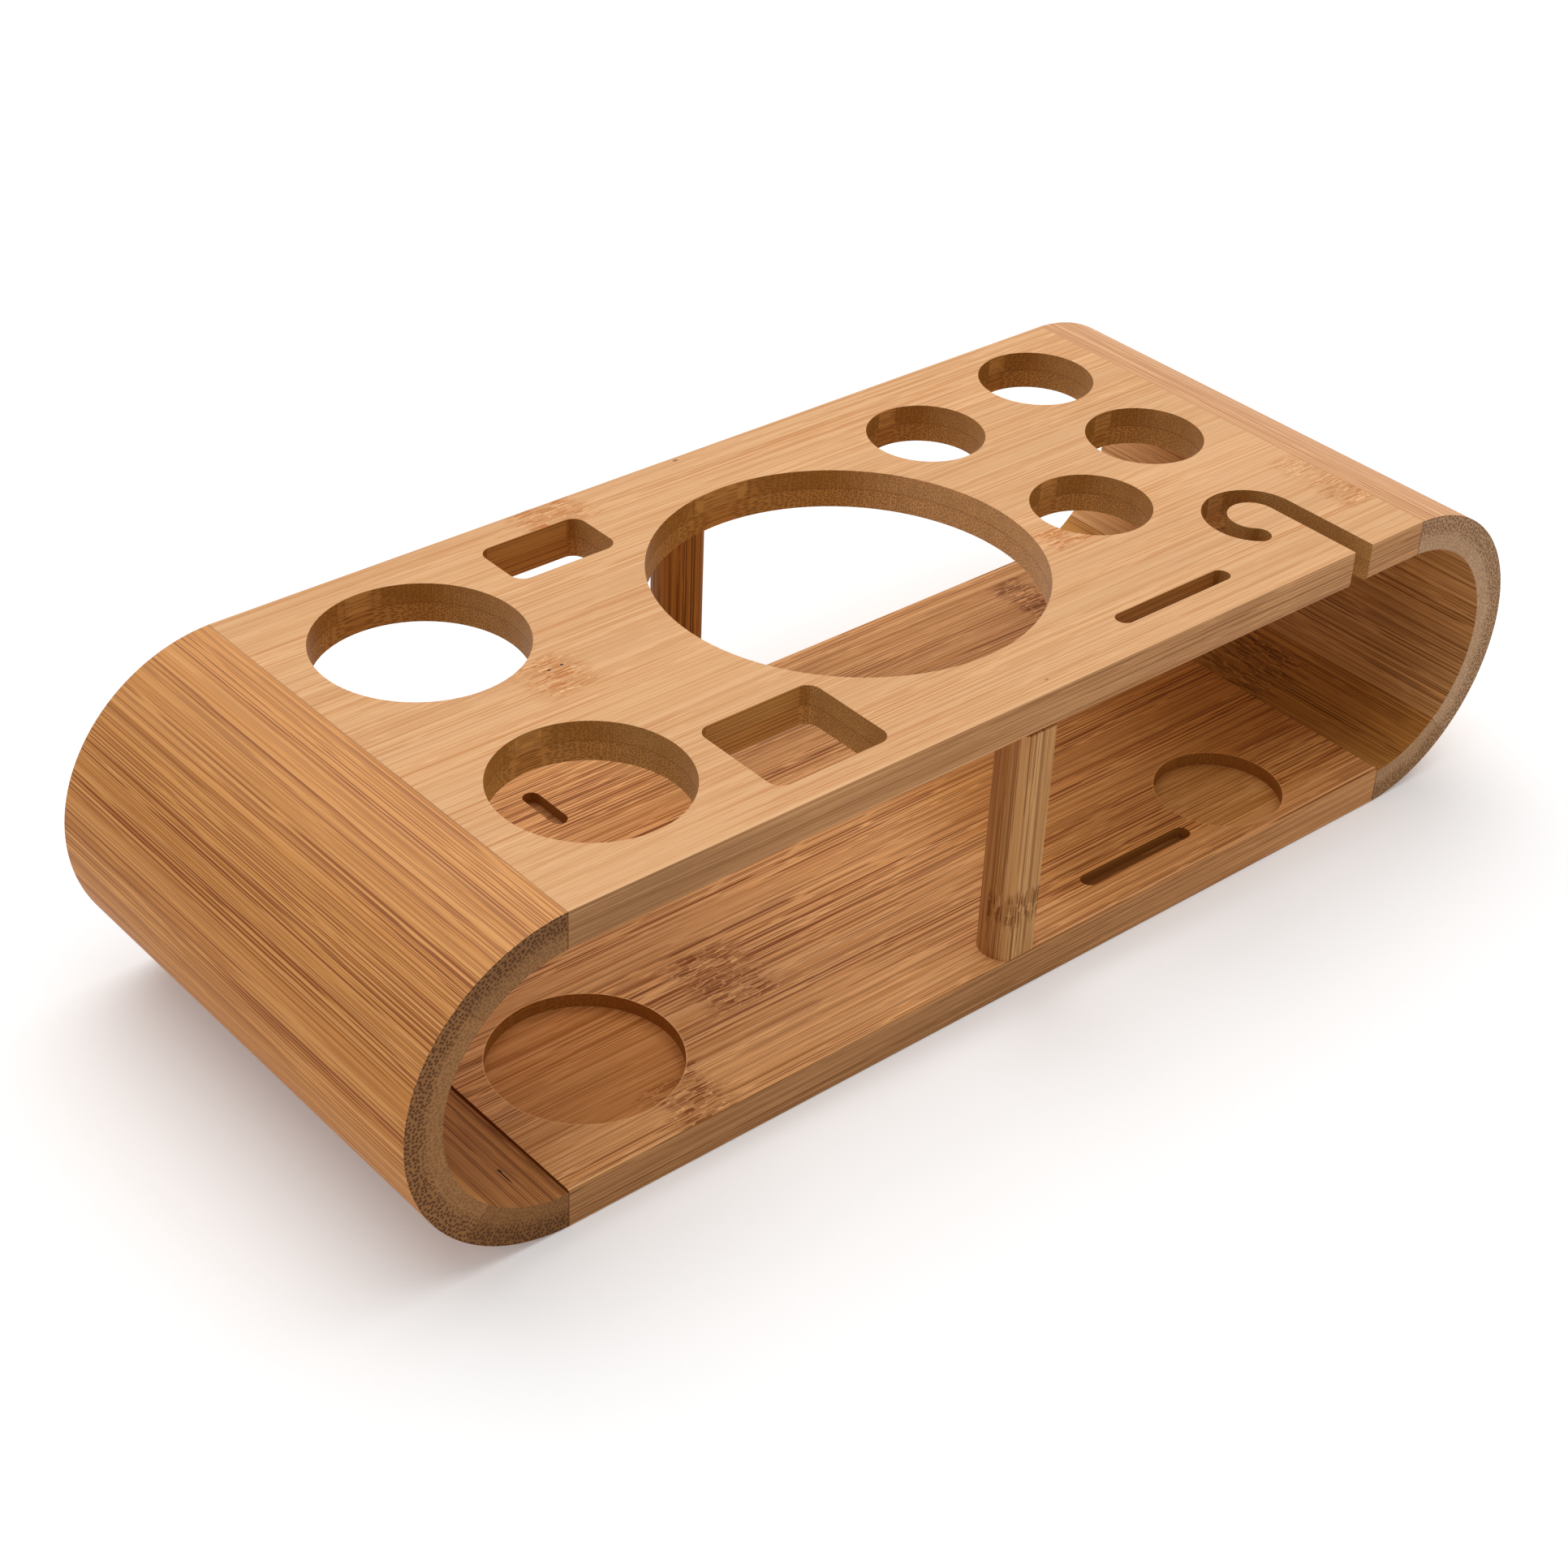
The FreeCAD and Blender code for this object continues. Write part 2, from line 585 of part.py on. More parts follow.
post_dowel_length = "sizes.dowel_in_board + sizes.dowel_in_post"
dowel_groups = []
for end_name, start in (("lower", "sizes.board_thickness - sizes.dowel_in_board"),
                        ("upper", "sizes.underside - sizes.dowel_in_post")):
    pins = []
    for place, (x, y) in POST_PLACES.items():
        pins.append(new_pin("%s_%s_post_pin" % (place, end_name), (0, 0, 1), "sizes.dowel_radius",
                            post_dowel_length, x, y, start))
    dowel_groups.append(new_group("post_%s_dowels" % end_name, pins))

# Dowels across the four seams
seam_dowel_length = "sizes.dowel_in_board + sizes.dowel_in_end"
SEAM_STARTS = {"left": "-sizes.half_length - sizes.dowel_in_end",
               "right": "sizes.half_length - sizes.dowel_in_board"}
for level_name, level in (("top", "sizes.upper_dowel_z"), ("bottom", "sizes.lower_dowel_z")):
    for side_name, start in SEAM_STARTS.items():
        pins = []
        for count, place in enumerate(seam_dowel_places(), start=1):
            pins.append(new_pin("%s_%s_pin_%d" % (level_name, side_name, count), (1, 0, 0),
                                "sizes.dowel_radius", seam_dowel_length, start, place, level))
        dowel_groups.append(new_group("%s_%s_seam_dowels" % (level_name, side_name), pins))

doc.recompute()

# Nothing is written unless every feature came out sound
for item in doc.Objects:
    if "Invalid" in item.State or "Error" in item.State:
        raise RuntimeError("%s failed: %s" % (item.Name, item.State))
    if item.TypeId == "Sketcher::SketchObject" and not item.FullyConstrained:
        raise RuntimeError(item.Name + " is not fully constrained")

nodes = [top_panel, bottom_panel] + staves + posts + dowel_groups
for node in nodes:
    if node.Shape.isNull() or not node.Shape.isValid() or not node.Shape.Solids:
        raise RuntimeError(node.Label + " has no valid shape")

os.makedirs("parts", exist_ok=True)
for node in nodes:
    node.Shape.exportStep("parts/%s.step" % node.Label)
    box = node.Shape.BoundBox
    print("%-26s solids %d  volume %9.1f  x %7.2f %7.2f  y %7.2f %7.2f  z %6.2f %6.2f" % (
        node.Label, len(node.Shape.Solids), node.Shape.Volume,
        box.XMin, box.XMax, box.YMin, box.YMax, box.ZMin, box.ZMax))
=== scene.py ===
"""Bamboo tool caddy: finish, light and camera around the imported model. Metres, Z up."""
import bpy
import json
import math
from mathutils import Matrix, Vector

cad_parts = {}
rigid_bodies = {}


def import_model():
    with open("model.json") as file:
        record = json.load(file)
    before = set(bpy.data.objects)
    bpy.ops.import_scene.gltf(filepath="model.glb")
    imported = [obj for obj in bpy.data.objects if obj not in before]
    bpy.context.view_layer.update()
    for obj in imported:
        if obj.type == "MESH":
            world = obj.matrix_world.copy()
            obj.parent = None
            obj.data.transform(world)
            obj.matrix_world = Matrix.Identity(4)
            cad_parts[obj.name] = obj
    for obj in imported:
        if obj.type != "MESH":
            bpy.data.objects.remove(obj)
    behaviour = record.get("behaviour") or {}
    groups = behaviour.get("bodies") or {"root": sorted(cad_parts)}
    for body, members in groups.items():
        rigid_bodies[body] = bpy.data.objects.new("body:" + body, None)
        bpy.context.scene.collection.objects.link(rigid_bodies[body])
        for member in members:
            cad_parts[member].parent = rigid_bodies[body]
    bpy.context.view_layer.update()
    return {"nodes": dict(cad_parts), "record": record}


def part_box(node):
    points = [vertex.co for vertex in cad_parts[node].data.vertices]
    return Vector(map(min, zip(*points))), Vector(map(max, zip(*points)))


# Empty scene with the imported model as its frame
for stale in list(bpy.data.objects):
    bpy.data.objects.remove(stale)

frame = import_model()
nodes = frame["nodes"]
record = frame["record"]

MM = 0.001
WHITE = (1.0, 1.0, 1.0, 1.0)

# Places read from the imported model, in millimetres
board_low, board_high = (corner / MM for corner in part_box("top_panel"))
base_low, base_high = (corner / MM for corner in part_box("bottom_panel"))
end_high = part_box("right_end_middle_stave")[1] / MM
HALF_LENGTH = board_high.x
HALF_WIDTH = board_high.y
MID_HEIGHT = board_high.z / 2
END_RADIUS = MID_HEIGHT
END_CENTRE = end_high.x - END_RADIUS

# Wall of the ends in millimetres, turn to their stave joints, and room for a groove's round ends
END_WALL = 9.1
STAVE_JOINT = math.radians(48)
GROOVE_ENDS = 3.0


def round_place(name):
    """Middle and radius of a round recess, from its mount."""
    mount = next(item for item in record["mounts"] if item["name"] == name)
    x, y, _ = mount["pos_m"]
    return x / MM, y / MM, mount["dims"]["r_mm"]


def recess_area(name):
    """Middle and half sizes of the square round a recess."""
    x, y, radius = round_place(name)
    return x, y, radius, radius


def groove_area(name):
    """Middle and half sizes of a groove, from its opening, with room for the round ends."""
    opening = next(item for item in record["physics"]["openings"] if item["name"] == name)
    (low_x, low_y, _), (high_x, high_y, _) = opening["box_m"]
    half_x = (high_x - low_x) / 2 / MM
    half_y = (high_y - low_y) / 2 / MM
    return low_x / MM + half_x, low_y / MM + half_y, half_x + GROOVE_ENDS, half_y + GROOVE_ENDS


def srgb(red, green, blue):
    """Linear colour from a screen colour with channels from 0 to 255."""
    def linear(channel):
        share = channel / 255
        return share / 12.92 if share <= 0.04045 else ((share + 0.055) / 1.055) ** 2.4
    return (linear(red), linear(green), linear(blue), 1.0)


class Shader:
    """Node tree of a material or world, built with short calls that return output sockets."""

    NOISE_DETAIL = 1.0
    NOISE_ROUGHNESS = 0.5

    def __init__(self, owner, surface="Principled BSDF"):
        owner.use_nodes = True
        self.owner = owner
        self.tree = owner.node_tree
        self.surface = self.tree.nodes[surface]

    def feed(self, socket, source):
        if isinstance(source, bpy.types.NodeSocket):
            self.tree.links.new(source, socket)
        elif source is not None:
            socket.default_value = source

    def add(self, kind, *inputs, **settings):
        item = self.tree.nodes.new("ShaderNode" + kind)
        for setting, choice in settings.items():
            setattr(item, setting, choice)
        for socket, source in zip(item.inputs, inputs):
            self.feed(socket, source)
        return item

    def math(self, operation, *inputs):
        return self.add("Math", *inputs, operation=operation).outputs[0]

    def plus(self, first, second):
        return self.math("ADD", first, second)

    def minus(self, first, second):
        return self.math("SUBTRACT", first, second)

    def times(self, first, second):
        return self.math("MULTIPLY", first, second)

    def above(self, number, limit):
        return self.math("GREATER_THAN", number, limit)

    def inverse(self, share):
        return self.math("SUBTRACT", 1.0, share)

    def size_of(self, number):
        return self.math("ABSOLUTE", number)

    def larger(self, first, second):
        return self.math("MAXIMUM", first, second)

    def length(self, first, second):
        squares = self.plus(self.times(first, first), self.times(second, second))
        return self.math("SQRT", squares)

    def spread(self, share, low, high):
        """Share from 0 to 1 stretched between two numbers."""
        return self.plus(self.times(share, high - low), low)

    def swing(self, share, reach):
        """Share from 0 to 1 stretched to both sides of 0."""
        return self.spread(share, -reach, reach)

    def choose(self, share, first, second):
        """First number where the share is 0, second where it is 1."""
        return self.plus(first, self.times(share, self.minus(second, first)))

    def step(self, number, low, high):
        """0 below low, 1 above high, smooth between; falls instead where low is above high."""
        if low > high:
            return self.inverse(self.step(number, high, low))
        ramp = self.add("MapRange", number, low, high, 0.0, 1.0, interpolation_type="SMOOTHSTEP")
        return ramp.outputs[0]

    def vector(self, first, second, third=0.0):
        return self.add("CombineXYZ", first, second, third).outputs[0]

    def noise(self, first, second, third):
        place = self.vector(first, second, third)
        return self.add("TexNoise", place, None, 1.0, self.NOISE_DETAIL, self.NOISE_ROUGHNESS).outputs[0]

    def pattern(self, along, across, rates, seed):
        """Noise with its own rate of change along and across the grain."""
        return self.noise(self.times(along, rates[0]), self.times(across, rates[1]), seed)

    def chance(self, first, second):
        """Random share from 0 to 1 that stays the same for the same two numbers."""
        place = self.vector(first, second)
        return self.add("TexWhiteNoise", place, noise_dimensions="2D").outputs[0]

    def mix(self, share, first, second):
        item = self.add("Mix", data_type="RGBA")
        self.feed(item.inputs[0], share)
        self.feed(item.inputs[6], first)
        self.feed(item.inputs[7], second)
        return item.outputs[2]

    def scaled(self, colour, amount):
        item = self.add("VectorMath", colour, operation="SCALE")
        self.feed(item.inputs["Scale"], amount)
        return item.outputs[0]

    def tinted(self, colour, share, tint):
        """Colour times a tint, as far as the share goes."""
        factor = self.mix(share, WHITE, tint)
        return self.add("VectorMath", colour, factor, operation="MULTIPLY").outputs[0]

    def split(self, vector):
        return self.add("SeparateXYZ", vector).outputs

    def place(self):
        """Position in the part's frame, in millimetres."""
        point = self.add("TexCoord").outputs["Object"]
        return self.split(self.scaled(point, 1 / MM))

    def facing(self):
        """How far the surface faces along X, Y and Z, without sign."""
        normal = self.add("NewGeometry").outputs["True Normal"]
        return [self.size_of(axis) for axis in self.split(normal)]

    def seen(self):
        """1 where the camera looks, straight, by reflection or through glass, and 0 for other light."""
        paths = self.add("LightPath").outputs
        share = self.larger(paths["Is Camera Ray"], paths["Is Glossy Ray"])
        return self.larger(share, paths["Is Transmission Ray"])


def new_material(name):
    return Shader(bpy.data.materials.new(name))


# Sorts of fibre line in millimetres: lane, width, length, and the share of lanes that have one
HAIR = (0.62, 0.22, 24.0, 0.80)
LINE = (1.3, 0.32, 45.0, 0.70)
BOLD = (3.7, 0.46, 95.0, 0.60)
LINE_SORTS = (HAIR, LINE, BOLD)
KNOT_FLECK = (0.9, 0.42, 4.0, 0.55)
KNOT_HAIR = (0.5, 0.26, 3.0, 0.60)
KNOT_DASH = (0.85, 0.46, 5.5, 0.68)

# How a line lies in its lane, and how it fades
LANE_PLAY = (0.25, 0.75)
LINE_SHUFFLE = 97.0
CHANCE_BLUR = 0.3
LINE_TAPER = (0.5, 0.36)
LINE_THICKNESS = (0.5, 1.3)
LINE_BLUR = (0.75, 0.25)

# Changes per millimetre along and across the grain, and how far they move it in millimetres
SWAY_RATES = (0.008, 0.02)
SWAY = 0.7
UNEVEN_RATES = (0.004, 0.4)
UNEVEN = 0.9
CURL_RATES = (0.16, 0.30)
CURL = 0.6
STREAK_RATES = (0.005, 0.8)
FIBRE_RATES = (0.02, 2.8)
BAND_RATES = (0.004, 0.11)
KNOT_EDGE_RATES = (0.12, 0.7)
CLOUD_RATES = (0.3, 0.3)
WALL_SWAY_RATES = (0.06, 0.06)
WALL_SWAY = 0.15
SKIN_RATE = 0.12
SKIN_SWAY = 2.0

# Grain: shares and factors
STRIP = 20.0
STRIP_TONE = 0.05
STREAK_SHARE = 0.4
FIBRE_SHARE = 0.6
GROUND_RANGE = (0.36, 0.64)
BAND_RANGE = (0.32, 0.60)
BAND_MARKS = (0.40, 1.0)
BAND_TONES = (0.91, 1.09)
SUNK_MARKS = 0.92
KNOT_RAGGED = 0.5
KNOT_ENDS = (1.0, 0.35)
KNOT_SIDES = (1.05, 0.9)
KNOT_MARKS = 0.3
KNOT_SHADE = 0.28
KNOT_PALE = 1.2
KNOT_STRENGTHS = (0.75, 0.6, 0.85)

# Cut ends of the fibres
BUNDLE_SCATTER = 0.7
BUNDLE_EDGE = (0.46, 0.22)
CLOUD_TONES = (0.85, 1.15)
WALL_BUNDLE = 0.5
END_BUNDLE = 0.95

# Small marks
GLUE_COLOUR = srgb(116, 66, 26)
GLUE_CORE = 0.3
SEAM_WIDTH = 0.25
SEAM_ON_FLAT = 0.2
SEAM_ON_EDGE = 0.8
STAVE_GLUE = 0.45
PLY_WIDTH = 0.3
PLY_GLUE = 0.3
SPECK_COLOUR = srgb(52, 24, 6)
SPECK_EDGE = (1.0, 0.5)
# Painted highlight round the recess rims: its place outside the rim, its blur and its strength
RIM_OUTSIDE = 0.12
RIM_BLUR = (0.25, 0.1)
RIM_HIGHLIGHT = 0.45
PATCH_BLUR = 8.0

# Oiled surface
ROUGHNESS = (0.45, 0.65)
GLOSS = 0.10
BUMP_STRENGTH = 0.25
BUMP_HEIGHT = 0.04 * MM


def fibre_lines(shader, along, across, sort, seed):
    """Straight thin lines, one to a lane, each with its own place, width, ends and strength."""
    lane_width, width, length, share = sort
    lanes = shader.times(across, 1 / lane_width)
    lane = shader.math("FLOOR", lanes)
    luck = shader.chance(lane, seed)
    aside = shader.minus(shader.minus(lanes, lane), shader.spread(luck, *LANE_PLAY))
    run = shader.plus(shader.times(along, 1 / length), shader.times(luck, LINE_SHUFFLE))
    piece = shader.math("FLOOR", run)
    fate = shader.chance(shader.plus(lane, seed), piece)
    present = shader.step(fate, 1.0 - share, 1.0 - share + CHANCE_BLUR)
    from_middle = shader.size_of(shader.minus(shader.minus(run, piece), 0.5))
    ends = shader.step(from_middle, *LINE_TAPER)
    thickness = shader.spread(fate, *LINE_THICKNESS)
    away = shader.math("DIVIDE", shader.times(shader.size_of(aside), lane_width), thickness)
    line = shader.step(away, *(width * edge for edge in LINE_BLUR))
    return shader.times(line, shader.times(present, ends))


def knot_cover(shader, along, across, spots, seed):
    """1 on the culm's nodes, each given by its middle and reach, 0 elsewhere, with a ragged edge."""
    ragged = shader.swing(shader.pattern(along, across, KNOT_EDGE_RATES, seed), KNOT_RAGGED)
    cover = None
    for mid_along, mid_across, reach_along, reach_across in spots:
        ahead = shader.times(shader.size_of(shader.minus(along, mid_along)), 1 / reach_along)
        aside = shader.times(shader.size_of(shader.minus(across, mid_across)), 1 / reach_across)
        ahead = shader.plus(ahead, ragged)
        spot = shader.times(shader.step(ahead, *KNOT_ENDS), shader.step(aside, *KNOT_SIDES))
        cover = spot if cover is None else shader.larger(cover, spot)
    return cover


def knot_flecks(shader, colour, along, place, cover, tones, seed):
    """Short pale and dark marks over a knot, returned with the dark dashes by themselves."""
    light, _, dark = tones
    pale = tuple(channel * KNOT_PALE for channel in light[:3]) + (1.0,)
    sorts = zip((KNOT_FLECK, KNOT_HAIR, KNOT_DASH), (pale, dark, dark), KNOT_STRENGTHS)
    for count, (sort, tone, strength) in enumerate(sorts):
        flecks = shader.times(fibre_lines(shader, along, place, sort, seed + count), cover)
        colour = shader.mix(shader.times(flecks, strength), colour, tone)
    return colour, flecks


def side_grain(shader, along, across, tones, strengths, seed, cover=None, sunk=None):
    """Streaked ground in glued strips of their own tone, with a strength for each sort of line."""
    light, middle, dark = tones
    strip = shader.math("FLOOR", shader.times(shader.plus(across, seed), 1 / STRIP))
    luck = shader.chance(strip, seed)
    place = shader.plus(across, shader.swing(shader.pattern(along, across, SWAY_RATES, seed), SWAY))
    uneven = shader.pattern(along, across, UNEVEN_RATES, seed + 15)
    place = shader.plus(place, shader.swing(uneven, UNEVEN))
    if cover is not None:
        curl = shader.swing(shader.pattern(along, across, CURL_RATES, seed + 1), CURL)
        place = shader.plus(place, shader.times(cover, curl))
    streak = shader.pattern(along, place, STREAK_RATES, seed + 2)
    fibre = shader.pattern(along, place, FIBRE_RATES, seed + 3)
    band = shader.pattern(along, across, BAND_RATES, seed + 4)
    ground_share = shader.plus(shader.times(streak, STREAK_SHARE), shader.times(fibre, FIBRE_SHARE))
    ground = shader.mix(shader.step(ground_share, *GROUND_RANGE), light, middle)
    marks = None
    for count, (sort, strength) in enumerate(zip(LINE_SORTS, strengths)):
        lines = shader.times(fibre_lines(shader, along, place, sort, seed + 5 + count), strength)
        marks = lines if marks is None else shader.larger(marks, lines)
    marks = shader.times(marks, shader.spread(shader.step(band, *BAND_RANGE), *BAND_MARKS))
    if sunk is not None:
        marks = shader.times(marks, shader.spread(sunk, 1.0, SUNK_MARKS))
    if cover is not None:
        marks = shader.times(marks, shader.spread(cover, 1.0, KNOT_MARKS))
        ground = shader.mix(shader.times(cover, KNOT_SHADE), ground, dark)
    colour = shader.mix(marks, ground, dark)
    if cover is not None:
        colour, flecks = knot_flecks(shader, colour, along, place, cover, tones, seed + 9)
        marks = shader.larger(marks, flecks)
    tone = shader.plus(shader.spread(band, *BAND_TONES), shader.swing(luck, STRIP_TONE))
    return shader.scaled(colour, tone), fibre, marks


def cut_ends(shader, across, depth, ground, dots, bundle_size, strength, seed):
    """Cut ends of the fibres: dark bundles in a paler ground."""
    place = shader.vector(shader.times(across, 1 / bundle_size), shader.times(depth, 1 / bundle_size), seed)
    cells = shader.add("TexVoronoi", place, None, 1.0, voronoi_dimensions="2D")
    cells.inputs["Randomness"].default_value = BUNDLE_SCATTER
    bundle = shader.times(shader.step(cells.outputs["Distance"], *BUNDLE_EDGE), strength)
    cloud = shader.pattern(across, depth, CLOUD_RATES, seed)
    ground = shader.scaled(ground, shader.spread(cloud, *CLOUD_TONES))
    return shader.mix(bundle, ground, dots), bundle


def glue_line(shader, colour, distance, width, strength):
    """Thin brown line where two pieces are glued."""
    joint = shader.step(distance, width, width * GLUE_CORE)
    return shader.mix(shader.times(joint, strength), colour, GLUE_COLOUR)


def add_specks(shader, colour, along, across, specks):
    """Small dark flaws in the wood, each given by its middle, half sizes and strength."""
    for mid_along, mid_across, half_along, half_across, strength in specks:
        ahead = shader.times(shader.minus(along, mid_along), 1 / half_along)
        aside = shader.times(shader.minus(across, mid_across), 1 / half_across)
        reach = shader.plus(shader.times(ahead, ahead), shader.times(aside, aside))
        speck = shader.times(shader.step(reach, *SPECK_EDGE), strength)
        colour = shader.mix(speck, colour, SPECK_COLOUR)
    return colour


def painted_rim_highlights(shader, colour, x, y, rims, tone):
    """Painted highlight: a pale ring along the edge of each round recess."""
    for mid_x, mid_y, radius in rims:
        away = shader.length(shader.minus(x, mid_x), shader.minus(y, mid_y))
        ring = shader.step(shader.size_of(shader.minus(away, radius + RIM_OUTSIDE)), *RIM_BLUR)
        colour = shader.mix(shader.times(ring, RIM_HIGHLIGHT), colour, tone)
    return colour


def area_cover(shader, x, y, area):
    """1 inside a rectangle given by its middle and half sizes, 0 outside."""
    mid_x, mid_y, half_x, half_y = area
    within_x = shader.above(half_x, shader.size_of(shader.minus(x, mid_x)))
    within_y = shader.above(half_y, shader.size_of(shader.minus(y, mid_y)))
    return shader.times(within_x, within_y)


def patch_cover(shader, x, y, rise, sides):
    """Share that grows from 0 to 1 over a span of X, inside a soft band of Y."""
    half = (sides[1] - sides[0]) / 2
    aside = shader.size_of(shader.minus(y, sides[0] + half))
    within = shader.step(aside, half + PATCH_BLUR, half - PATCH_BLUR)
    return shader.times(shader.step(x, *rise), within)


def finish_wood(shader, colour, fibre, marks):
    """Satin oiled surface with the fibres just felt."""
    shader.feed(shader.surface.inputs["Base Color"], colour)
    shader.feed(shader.surface.inputs["Roughness"], shader.spread(fibre, *ROUGHNESS))
    shader.surface.inputs["Specular IOR Level"].default_value = GLOSS
    bump = shader.add("Bump", BUMP_STRENGTH, BUMP_HEIGHT)
    shader.feed(bump.inputs["Height"], shader.minus(fibre, marks))
    shader.feed(shader.surface.inputs["Normal"], bump.outputs[0])
    return shader.owner


# Limits that tell a board's faces apart, and shares of their tones
FLAT_FROM = 0.7
EDGE_FROM = 0.5
EDGE_DEPTH = 1.7
SUNK_FROM = 1.0
RECESS_SHARE = 0.4
EDGE_FINENESS = 2.0
# Painted light near the large hole's right wall: its place along X and its blur, in millimetres
LIT_WALL_X = 40.0
LIT_WALL_BLUR = (16.0, 8.0)
WALL_ENDS_FACE = (0.55, 0.98)
WALL_SIDES_FACE = (0.97, 0.995)
WALL_DOT_STRENGTHS = (0.65, 0.5)


def board_face(shader, look, x, y, sunk):
    """Flat faces of a board, with the floors of its recesses and grooves."""
    seed = look["seed"]
    cover = knot_cover(shader, x, y, look["knots"], seed)
    face, fibre, marks = side_grain(shader, x, y, look["tones"], look["lines"], seed, cover, sunk)
    face = add_specks(shader, face, x, y, look["specks"])
    face = shader.mix(shader.times(sunk, RECESS_SHARE), face, look["recess"])
    for area, tint in look["floors"]:
        reach = shader.times(sunk, area_cover(shader, x, y, area))
        face = shader.tinted(face, reach, tint)
    # Painted highlight round the recess rims
    face = painted_rim_highlights(shader, face, x, y, look["rims"], look["tones"][0])
    for rise, sides, tone, strength in look["patches"]:
        reach = patch_cover(shader, x, y, rise, sides)
        face = shader.mix(shader.times(reach, strength), face, tone)
    # Painted shade and painted light: soft patches of the face multiplied by a tint
    for rise, sides, tint in look["tints"]:
        face = shader.tinted(face, patch_cover(shader, x, y, rise, sides), tint)
    return face, fibre, marks


def board_walls(shader, look, place, facing, upper):
    """Walls of the cut-outs in two plies, toned by the way that they face, with a paler tone of painted
    light where walls facing along X stand near the large hole's right wall.
    """
    x, y, z = place
    face_x, face_y, _ = facing
    seed = look["seed"]
    sway = shader.swing(shader.pattern(x, y, WALL_SWAY_RATES, seed + 30), WALL_SWAY)
    # Walls that face along X near the large hole's right wall take a paler tone: painted light
    from_lit_wall = shader.size_of(shader.minus(x, LIT_WALL_X))
    ends = shader.mix(shader.step(from_lit_wall, *LIT_WALL_BLUR), *look["wall_ends"])
    sides = shader.mix(upper, *look["wall_sides"])
    ground = shader.mix(upper, *look["wall_tones"])
    ground = shader.mix(shader.step(face_x, *WALL_ENDS_FACE), ground, ends)
    ground = shader.mix(shader.step(face_y, *WALL_SIDES_FACE), ground, sides)
    strength = shader.spread(upper, *WALL_DOT_STRENGTHS)
    across = shader.plus(y, sway)
    return cut_ends(shader, across, z, ground, look["wall_dots"], WALL_BUNDLE, strength, seed + 31)


def board_material(name, look, low, high):
    """Board of two plies with the grain along X."""
    shader = new_material(name)
    seed = look["seed"]
    place = shader.place()
    facing = shader.facing()
    x, y, z = place
    _, face_y, face_z = facing
    mid = (low.z + high.z) / 2
    flat = shader.above(face_z, FLAT_FROM)
    upright = shader.inverse(flat)
    near_edge = shader.above(shader.size_of(y), high.y - EDGE_DEPTH)
    edge = shader.times(upright, shader.times(near_edge, shader.above(face_y, EDGE_FROM)))
    wall = shader.times(upright, shader.inverse(edge))
    below_top = shader.above(high.z - SUNK_FROM, z)
    sunk = shader.times(flat, shader.times(below_top, shader.above(z, low.z + SUNK_FROM)))

    face, fibre, marks = board_face(shader, look, x, y, sunk)
    height = shader.times(z, EDGE_FINENESS)
    side, _, _ = side_grain(shader, x, height, look["edge_tones"], look["edge_lines"], seed + 20)
    # Painted shade and painted light on the front and rear faces: scaled along X from the first factor to
    # the second
    side = shader.scaled(side, shader.spread(shader.step(x, *look["edge_span"]), *look["edge_fade"]))
    colour = shader.mix(edge, face, side)
    cut, bundle = board_walls(shader, look, place, facing, shader.above(z, mid))
    colour = shader.mix(wall, colour, cut)

    from_ply = shader.plus(shader.size_of(shader.minus(z, mid)), flat)
    colour = glue_line(shader, colour, from_ply, PLY_WIDTH, PLY_GLUE)
    to_seam = shader.minus(high.x, shader.size_of(x))
    colour = glue_line(shader, colour, to_seam, SEAM_WIDTH, shader.spread(flat, SEAM_ON_EDGE, SEAM_ON_FLAT))
    marks = shader.choose(wall, marks, bundle)
    return finish_wood(shader, colour, fibre, marks)


# Spans of an end's tones in millimetres: round the arc, along Y and below the outer face
END_STRETCH = 2.2
END_FINENESS = 1.2
# Painted light on the top of an end's outer face: its span round the arc and its share
LIT_TOP_ARC = (10.0, 62.0)
LIT_TOP_SHARE = 0.22
# Painted light inside the mouths of an end: spans along Y, and its share at the front
REAR_MOUTH_LIT = (25.0, 65.0)
FRONT_MOUTH_LIT = (-40.0, -64.0)
FRONT_MOUTH_LIGHT = 0.2
DENSE_SKIN = (6.5, 3.0)
END_DOT_STRENGTHS = (0.35, 0.85)
CUT_FROM = 0.7


